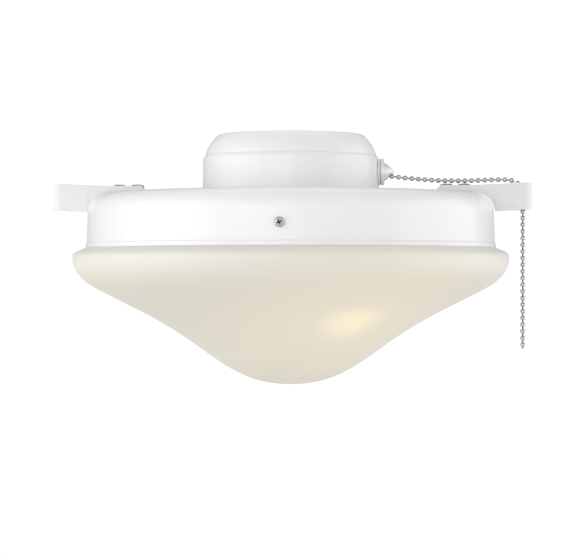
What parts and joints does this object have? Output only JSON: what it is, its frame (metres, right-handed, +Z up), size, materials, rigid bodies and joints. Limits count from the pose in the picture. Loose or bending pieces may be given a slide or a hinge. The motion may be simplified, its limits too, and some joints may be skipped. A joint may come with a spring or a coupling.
{
  "type": "ceiling fan light kit",
  "caption": "Round light kit for the underside of a ceiling fan: a pressed steel pan and switch housing over a frosted glass bowl, with a beaded pull chain led out through a guide arm",
  "frame": {"origin": "centre of the mounting collar's flat top face, where the kit meets the fan above it", "axes": "+Z up towards the fan; +X from the axis towards the chain nozzle and the arm that carries the chain; +Y completes a right-handed frame"},
  "size_m": [0.3094, 0.281, 0.1611],
  "materials": {
    "white_enamel": "smooth gloss white baked enamel on pressed steel",
    "nickel": "bright nickel plate, slightly dulled",
    "zinc_steel": "zinc-plated pressed and turned steel",
    "brass": "plain unlacquered brass",
    "frosted_glass": "warm white frosted glass, satin outside",
    "bulb_glass": "inside-frosted lamp glass",
    "phenolic": "black moulded phenolic",
    "nylon": "natural nylon",
    "lead_jacket": "pale grey flexible wire jacket",
    "lead_black": "black flexible wire jacket"
  },
  "bodies": {
    "light_kit": {"arm_nut_1": "zinc_steel", "arm_nut_2": "zinc_steel", "arm_nut_3": "zinc_steel", "arm_nut_4": "zinc_steel", "arm_screw_1": "nickel", "arm_screw_2": "nickel", "arm_screw_3": "nickel", "arm_screw_4": "nickel", "centre_nipple": "zinc_steel", "chain_arm_left": "white_enamel", "chain_arm_right": "white_enamel", "chain_nozzle": "nickel", "contact_blade_1": "brass", "contact_blade_2": "brass", "crossbar": "zinc_steel", "crossbar_screw_1": "zinc_steel", "crossbar_screw_2": "zinc_steel", "floor_locknut": "zinc_steel", "glass_bowl": "frosted_glass", "lower_locknut": "zinc_steel", "lower_washer": "zinc_steel", "mounting_collar": "white_enamel", "nozzle_nut": "zinc_steel", "nozzle_washer": "white_enamel", "pan": "white_enamel", "screw_boss_1": "zinc_steel", "screw_boss_2": "zinc_steel", "screw_boss_3": "zinc_steel", "socket_1": "phenolic", "socket_2": "phenolic", "socket_bracket": "zinc_steel", "socket_contact_1": "brass", "socket_contact_2": "brass", "socket_lead_1": "lead_jacket", "socket_lead_2": "lead_jacket", "socket_shell_1": "brass", "socket_shell_2": "brass", "switch_case": "phenolic", "switch_cover": "phenolic", "switch_housing": "white_enamel", "switch_lead": "lead_black", "switch_shaft": "zinc_steel", "switch_spring": "zinc_steel", "top_locknut": "zinc_steel", "wire_nut_1": "nylon", "wire_nut_2": "nylon"},
    "chain_feed": {"chain_run": "nickel"},
    "chain_pull": {"chain_corner": "nickel"},
    "chain_drop": {"chain_drop": "nickel"},
    "pulley": {"switch_pulley": "nylon"},
    "glass_screw_1": {"glass_screw_1": "nickel"},
    "glass_screw_2": {"glass_screw_2": "nickel"},
    "glass_screw_3": {"glass_screw_3": "nickel"},
    "bulb_1": {"bulb_cap_1": "brass", "bulb_glass_1": "bulb_glass"},
    "bulb_2": {"bulb_cap_2": "brass", "bulb_glass_2": "bulb_glass"}
  },
  "joints": [
    {"name": "chain_pull", "type": "slide", "parent": "light_kit", "child": "chain_pull", "axis": [0, 0, -1], "range_m": [0, 0.008], "stiffness_N_per_m": 400, "springref_m": -0.005},
    {"name": "chain_feed", "type": "slide", "parent": "light_kit", "child": "chain_feed", "axis": [1, 0, 0], "range_m": [0, 0.008]},
    {"name": "chain_swing", "type": "hinge", "parent": "chain_pull", "child": "chain_drop", "pos_m": [0.149, 0, -0.0477], "axis": [1, 0, 0], "range_deg": [-50, 50]},
    {"name": "pulley_turn", "type": "hinge", "parent": "light_kit", "child": "pulley", "pos_m": [0.0406, 0, -0.019], "axis": [0, -1, 0], "range_deg": [0, 58]},
    {"name": "glass_screw_1", "type": "slide", "parent": "light_kit", "child": "glass_screw_1", "axis": [0.0209, -0.9998, 0], "range_m": [0, 0.006]},
    {"name": "glass_screw_2", "type": "slide", "parent": "light_kit", "child": "glass_screw_2", "axis": [0.8554, 0.518, 0], "range_m": [0, 0.006]},
    {"name": "glass_screw_3", "type": "slide", "parent": "light_kit", "child": "glass_screw_3", "axis": [-0.8763, 0.4818, 0], "range_m": [0, 0.006]},
    {"name": "bulb_1_turn", "type": "hinge", "parent": "light_kit", "child": "bulb_1", "pos_m": [0.01124, -0.01666, -0.0599], "axis": [0.4581, -0.6792, -0.5735], "range_deg": [0, 900]},
    {"name": "bulb_2_turn", "type": "hinge", "parent": "light_kit", "child": "bulb_2", "pos_m": [-0.01124, 0.01666, -0.0599], "axis": [-0.4581, 0.6792, -0.5735], "range_deg": [0, 900]}
  ],
  "couplings": [
    {"joint": "chain_feed", "follows": "chain_pull", "ratio": 1},
    {"joint": "pulley_turn", "follows": "chain_pull", "rad_per_m": 125}
  ]
}
